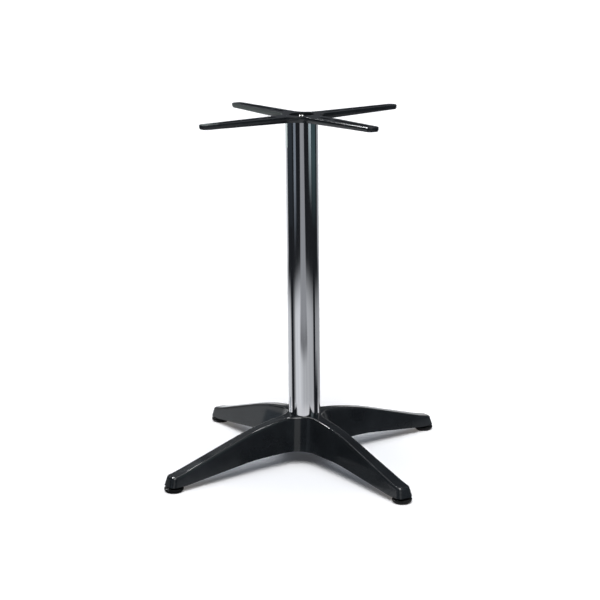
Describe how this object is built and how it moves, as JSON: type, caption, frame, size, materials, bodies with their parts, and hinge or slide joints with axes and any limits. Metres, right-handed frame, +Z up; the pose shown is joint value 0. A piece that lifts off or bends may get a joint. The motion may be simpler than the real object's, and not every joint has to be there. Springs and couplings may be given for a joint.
{
  "type": "pedestal table base",
  "caption": "Pedestal table base: a polished round column on a low star-shaped cast foot with screw-in levelling feet, topped by a slotted cross that is screwed to a table top.",
  "frame": {"origin": "floor level on the column's axis", "axes": "+Z up the column, arms of the foot and of the cross along +X, -X, +Y and -Y"},
  "size_m": [0.66, 0.66, 0.7],
  "materials": {
    "casting_black": "gloss charcoal-black enamel on cast aluminium",
    "column_polished": "mirror-polished tube",
    "zinc_steel": "bright zinc plate",
    "pad_black": "matte black nylon"
  },
  "bodies": {
    "frame": {"base_casting": "casting_black", "column": "column_polished", "top_cross": "casting_black", "tie_rod": "zinc_steel", "top_washer": "zinc_steel", "top_nut": "zinc_steel", "base_washer": "zinc_steel", "lock_washer": "zinc_steel", "base_nut": "zinc_steel"},
    "foot_1": {"foot_pad_1": "pad_black", "foot_stud_1": "zinc_steel"},
    "foot_2": {"foot_pad_2": "pad_black", "foot_stud_2": "zinc_steel"},
    "foot_3": {"foot_pad_3": "pad_black", "foot_stud_3": "zinc_steel"},
    "foot_4": {"foot_pad_4": "pad_black", "foot_stud_4": "zinc_steel"}
  },
  "joints": [
    {"name": "foot_1_level", "type": "slide", "parent": "frame", "child": "foot_1", "axis": [0, 0, 1], "range_m": [-0.008, 0.002]},
    {"name": "foot_2_level", "type": "slide", "parent": "frame", "child": "foot_2", "axis": [0, 0, 1], "range_m": [-0.008, 0.002]},
    {"name": "foot_3_level", "type": "slide", "parent": "frame", "child": "foot_3", "axis": [0, 0, 1], "range_m": [-0.008, 0.002]},
    {"name": "foot_4_level", "type": "slide", "parent": "frame", "child": "foot_4", "axis": [0, 0, 1], "range_m": [-0.008, 0.002]}
  ]
}
